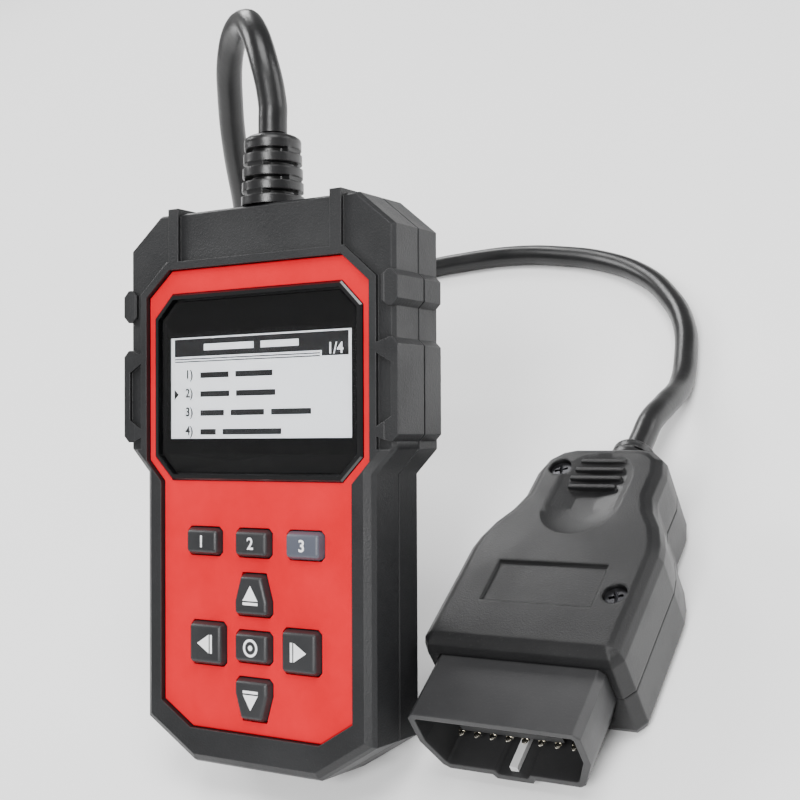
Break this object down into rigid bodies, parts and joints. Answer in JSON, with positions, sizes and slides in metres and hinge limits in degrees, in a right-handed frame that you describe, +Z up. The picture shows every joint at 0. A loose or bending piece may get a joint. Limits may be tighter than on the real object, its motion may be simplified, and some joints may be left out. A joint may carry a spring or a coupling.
{
  "type": "vehicle code reader",
  "caption": "Hand-held vehicle code reader with a display window and sprung keys, leaning on its own cord beside its flat diagnostic plug.",
  "frame": {"origin": "on the surface, under the middle of the box that holds the handset and its strain relief, without the cord and plug", "axes": "+Z up from the surface, +X to the right across the handset's face, -Y towards the viewer; the handset leans back 40 degrees from upright about X, and the plug's mouth opens towards -Y"},
  "size_m": [0.1778, 0.2251, 0.1372],
  "materials": {
    "casing_black": "fine moulded texture, satin",
    "faceplate_red": "smooth, satin",
    "bezel_black": "gloss",
    "lens_clear": "polished",
    "mask_black": "printed, gloss",
    "display_white": "satin",
    "backlight_white": "matt",
    "tray_steel": "plain",
    "ribbon_amber": "satin",
    "board_green": "solder mask",
    "chip_black": "moulded",
    "parts_tan": "ceramic",
    "switch_grey": "moulded",
    "membrane_silicone": "translucent, matt",
    "key_black": "satin",
    "key_grey": "satin",
    "screw_steel": "zinc plated",
    "header_ivory": "moulded",
    "wire_red": "insulation",
    "cord_black": "smooth, satin",
    "relief_black": "satin",
    "plug_black": "fine moulded texture",
    "block_black": "moulded",
    "contact_brass": "plated",
    "bar_chrome": "bright",
    "screw_black": "black oxide"
  },
  "bodies": {
    "reader": {"front_cover": "casing_black", "back_cover": "casing_black", "faceplate": "faceplate_red", "window_bezel": "bezel_black", "window_lens": "lens_clear", "window_mask": "mask_black", "lcd_glass": "display_white", "lcd_backlight": "backlight_white", "lcd_tray": "tray_steel", "lcd_ribbon": "ribbon_amber", "main_board": "board_green", "processor": "chip_black", "interface_chips": "chip_black", "small_parts": "parts_tan", "buzzer": "chip_black", "key_switches": "switch_grey", "key_membrane": "membrane_silicone", "case_screws": "screw_steel", "board_screws": "screw_steel", "cord_header": "header_ivory", "lead_wires": "wire_red", "cord_tail": "cord_black", "strain_relief": "relief_black", "cord": "cord_black", "plug_relief": "relief_black", "plug_top_shell": "plug_black", "plug_bottom_shell": "plug_black", "plug_shroud": "plug_black", "plug_block": "block_black", "plug_contacts": "contact_brass", "plug_key_bar": "bar_chrome", "plug_board": "board_green", "plug_wires": "wire_red", "plug_screws": "screw_black"},
    "key_one_body": {"key_one": "key_black"},
    "key_two_body": {"key_two": "key_black"},
    "key_three_body": {"key_three": "key_grey"},
    "key_up_arrow_body": {"key_up_arrow": "key_black"},
    "key_left_arrow_body": {"key_left_arrow": "key_black"},
    "key_centre_body": {"key_centre": "key_black"},
    "key_right_arrow_body": {"key_right_arrow": "key_black"},
    "key_down_arrow_body": {"key_down_arrow": "key_black"}
  },
  "joints": [
    {"name": "key_one_press", "type": "slide", "parent": "reader", "child": "key_one_body", "axis": [0, 0.766, -0.6428], "range_m": [0, 0.0008], "stiffness_N_per_m": 900, "springref_m": -0.0003},
    {"name": "key_two_press", "type": "slide", "parent": "reader", "child": "key_two_body", "axis": [0, 0.766, -0.6428], "range_m": [0, 0.0008], "stiffness_N_per_m": 900, "springref_m": -0.0003},
    {"name": "key_three_press", "type": "slide", "parent": "reader", "child": "key_three_body", "axis": [0, 0.766, -0.6428], "range_m": [0, 0.0008], "stiffness_N_per_m": 900, "springref_m": -0.0003},
    {"name": "key_up_arrow_press", "type": "slide", "parent": "reader", "child": "key_up_arrow_body", "axis": [0, 0.766, -0.6428], "range_m": [0, 0.0008], "stiffness_N_per_m": 900, "springref_m": -0.0003},
    {"name": "key_left_arrow_press", "type": "slide", "parent": "reader", "child": "key_left_arrow_body", "axis": [0, 0.766, -0.6428], "range_m": [0, 0.0008], "stiffness_N_per_m": 900, "springref_m": -0.0003},
    {"name": "key_centre_press", "type": "slide", "parent": "reader", "child": "key_centre_body", "axis": [0, 0.766, -0.6428], "range_m": [0, 0.0008], "stiffness_N_per_m": 900, "springref_m": -0.0003},
    {"name": "key_right_arrow_press", "type": "slide", "parent": "reader", "child": "key_right_arrow_body", "axis": [0, 0.766, -0.6428], "range_m": [0, 0.0008], "stiffness_N_per_m": 900, "springref_m": -0.0003},
    {"name": "key_down_arrow_press", "type": "slide", "parent": "reader", "child": "key_down_arrow_body", "axis": [0, 0.766, -0.6428], "range_m": [0, 0.0008], "stiffness_N_per_m": 900, "springref_m": -0.0003}
  ]
}
